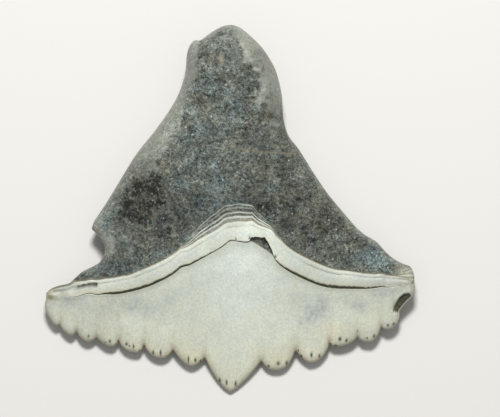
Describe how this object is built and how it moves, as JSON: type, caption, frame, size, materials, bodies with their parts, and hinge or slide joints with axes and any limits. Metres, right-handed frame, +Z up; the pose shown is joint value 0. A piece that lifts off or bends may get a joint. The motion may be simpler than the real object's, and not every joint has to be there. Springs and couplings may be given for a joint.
{
  "type": "fossil fish tooth",
  "caption": "Fossil fish tooth lying face up: wide pale crown with a cusped lower margin, raised ledge with stepped ridges, and a long dark grainy root.",
  "frame": {"origin": "middle of the bounding box in x and y, on the surface that the tooth lies on", "axes": "+X across the crown to the right as seen from above with the cusps towards the viewer, +Y from the cusps to the end of the root, +Z up out of the visible face"},
  "size_m": [0.02, 0.02, 0.0036],
  "materials": {
    "tooth": "satin"
  },
  "bodies": {
    "root": {"tooth": "tooth"}
  },
  "joints": []
}
